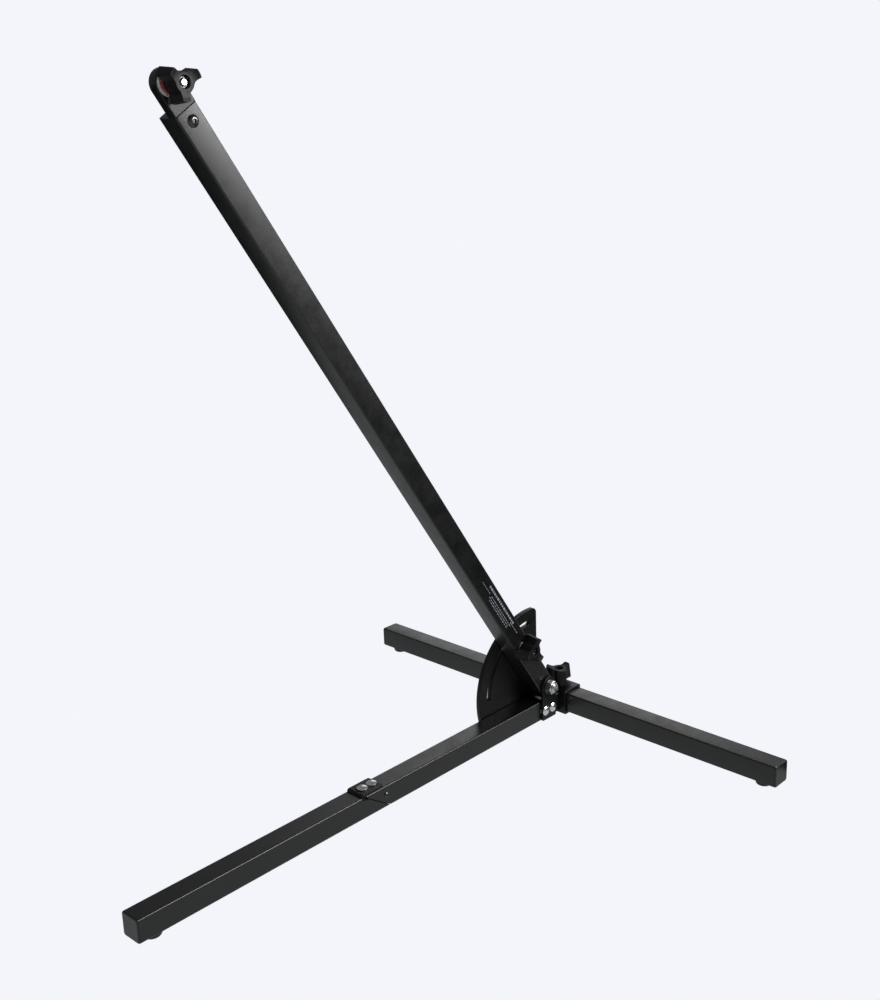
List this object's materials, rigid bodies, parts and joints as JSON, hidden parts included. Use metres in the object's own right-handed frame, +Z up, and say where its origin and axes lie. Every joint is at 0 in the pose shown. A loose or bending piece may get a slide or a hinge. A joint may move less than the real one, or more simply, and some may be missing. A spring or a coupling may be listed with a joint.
{
  "type": "folding studio stand",
  "caption": "Folding T-base studio stand in square tube: sliding crossbar, hinged leg, a leaning mast clamped on a slotted quadrant plate, and a toothed clamp head with a lobed knob.",
  "frame": {"origin": "on the floor, under the middle of the stand's bounding box with the mast leaning at rest", "axes": "+X along the leg towards its foot, +Y along the crossbar, +Z up"},
  "size_m": [0.649, 0.637, 0.7841],
  "materials": {
    "black_paint": "satin",
    "black_plastic": "matt",
    "knob_plastic": "satin",
    "foot_rubber": "matt",
    "bright_steel": "zinc plated",
    "black_steel": "black oxide",
    "red_plastic": "satin",
    "pale_nylon": "matt"
  },
  "bodies": {
    "base": {"crossbar_sleeve": "black_paint", "sleeve_clamp_nut": "black_paint", "leg_inner_tube": "black_paint", "leg_catch_block": "black_plastic", "leg_catch_screws": "black_steel", "leg_hinge_inner_leaf": "black_paint", "leg_hinge_pin": "bright_steel", "leg_hinge_screws": "bright_steel", "quadrant_plate": "black_paint", "strap_bracket": "black_paint", "base_bolt_washers": "bright_steel", "base_bolts": "bright_steel", "base_nuts": "bright_steel", "pivot_bolt": "bright_steel", "pivot_nut": "bright_steel", "pivot_washers": "black_steel", "pivot_bush": "pale_nylon", "friction_washers": "pale_nylon"},
    "crossbar": {"crossbar_tube": "black_paint", "crossbar_end_plugs": "black_plastic", "crossbar_feet": "foot_rubber", "crossbar_foot_screws": "bright_steel"},
    "outer_leg": {"leg_outer_tube": "black_paint", "leg_hinge_outer_leaf": "black_paint", "leg_end_plug": "black_plastic", "leg_foot": "foot_rubber", "leg_foot_screw": "bright_steel"},
    "mast": {"mast_tube": "black_paint", "tilt_bolt": "bright_steel", "tilt_crush_tube": "bright_steel", "tilt_slot_washer": "bright_steel", "tilt_spacer": "bright_steel", "tilt_knob_washer": "bright_steel", "head_block": "black_paint", "head_screws": "black_steel", "toothed_ring": "bright_steel", "red_washer": "red_plastic", "head_bolt": "bright_steel"},
    "tilt_knob_turning": {"tilt_knob": "knob_plastic", "tilt_knob_insert": "black_steel"},
    "crossbar_knob_turning": {"crossbar_knob": "knob_plastic", "crossbar_clamp_screw": "black_steel"},
    "head_knob_turning": {"head_knob": "knob_plastic", "head_knob_insert": "black_steel"}
  },
  "joints": [
    {"name": "mast_tilt", "type": "hinge", "parent": "base", "child": "mast", "pos_m": [-0.2656, -0.0045, 0.0497], "axis": [0, 1, 0], "range_deg": [-30, 54]},
    {"name": "leg_fold", "type": "hinge", "parent": "base", "child": "outer_leg", "pos_m": [0.0425, -0.0045, 0.0319], "axis": [0, 1, 0], "range_deg": [-110, 0]},
    {"name": "crossbar_slide", "type": "slide", "parent": "base", "child": "crossbar", "axis": [0, 1, 0], "range_m": [-0.262, 0.254]},
    {"name": "tilt_knob_turn", "type": "hinge", "parent": "mast", "child": "tilt_knob_turning", "pos_m": [-0.222, -0.0045, 0.11558], "axis": [0, 1, 0], "continuous": true},
    {"name": "crossbar_knob_turn", "type": "hinge", "parent": "base", "child": "crossbar_knob_turning", "pos_m": [-0.305, -0.0045, 0.0065], "axis": [0, 0, 1], "continuous": true},
    {"name": "head_knob_turn", "type": "hinge", "parent": "mast", "child": "head_knob_turning", "pos_m": [0.21182, -0.0045, 0.77101], "axis": [0, 1, 0], "continuous": true}
  ]
}
